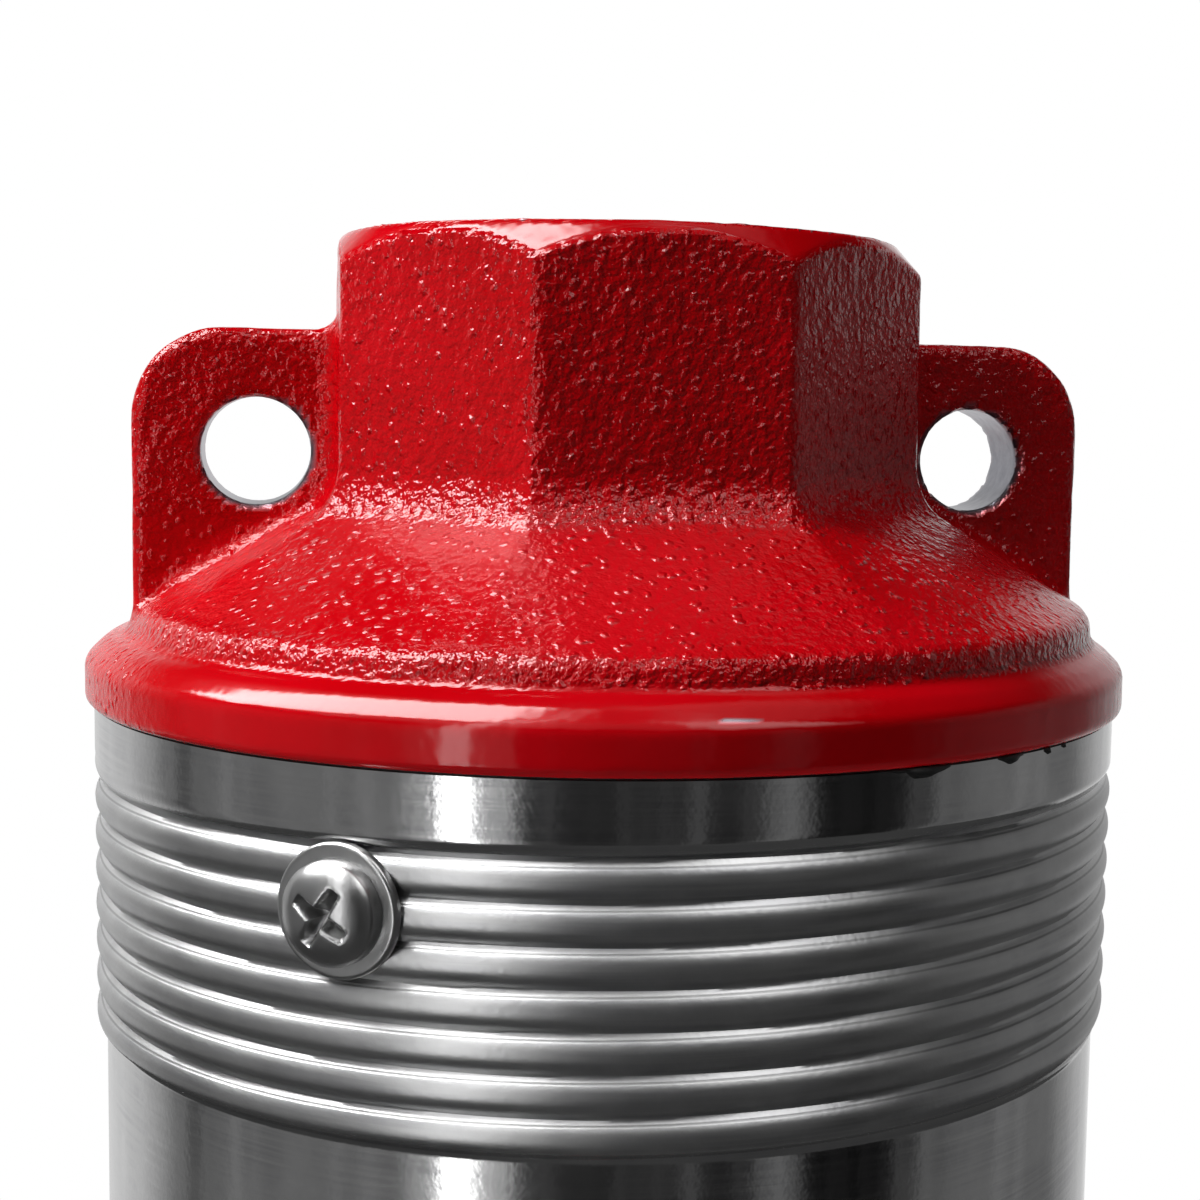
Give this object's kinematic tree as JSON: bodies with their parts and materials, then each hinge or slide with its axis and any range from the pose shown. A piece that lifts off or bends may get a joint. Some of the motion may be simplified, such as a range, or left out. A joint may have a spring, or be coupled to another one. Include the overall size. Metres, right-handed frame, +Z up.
{
  "type": "borehole submersible pump end",
  "caption": "Upright cylindrical pump end with a cast discharge head, octagonal wrench socket, two lifting ears, thread-ended casing tube, slotted intake strainer and motor flange.",
  "frame": {"origin": "centre of the motor flange's bottom rim", "axes": "+Z up along the shaft towards the outlet, lifting ears along X"},
  "size_m": [0.0994, 0.0994, 0.2754],
  "materials": {
    "red_enamel": "glossy enamel over rough cast iron",
    "stainless": "drawn and rolled, satin",
    "zinc_screw": "bright",
    "sealant": "dull",
    "rubber": "dull",
    "brass": "machined",
    "bearing_rubber": "moulded"
  },
  "bodies": {
    "root": {"discharge_head": "red_enamel", "suction_bracket": "red_enamel", "casing_tube": "stainless", "intake_strainer": "stainless", "inlet_plate": "stainless", "pump_shaft": "stainless", "shaft_coupling": "stainless", "valve_guide": "stainless", "diffuser_1": "stainless", "diffuser_2": "stainless", "diffuser_3": "stainless", "diffuser_4": "stainless", "impeller_1": "stainless", "impeller_2": "stainless", "impeller_3": "stainless", "impeller_4": "stainless", "top_bearing_housing": "stainless", "head_lock_screw_1": "zinc_screw", "head_lock_screw_2": "zinc_screw", "base_lock_screw_1": "zinc_screw", "base_lock_screw_2": "zinc_screw", "strainer_screw_1": "zinc_screw", "strainer_screw_2": "zinc_screw", "strainer_screw_3": "zinc_screw", "strainer_screw_4": "zinc_screw", "head_gasket": "sealant", "bracket_gasket": "sealant", "valve_seal": "rubber", "valve_disc": "brass", "valve_seat": "brass", "top_bearing_bush": "bearing_rubber"}
  },
  "joints": []
}
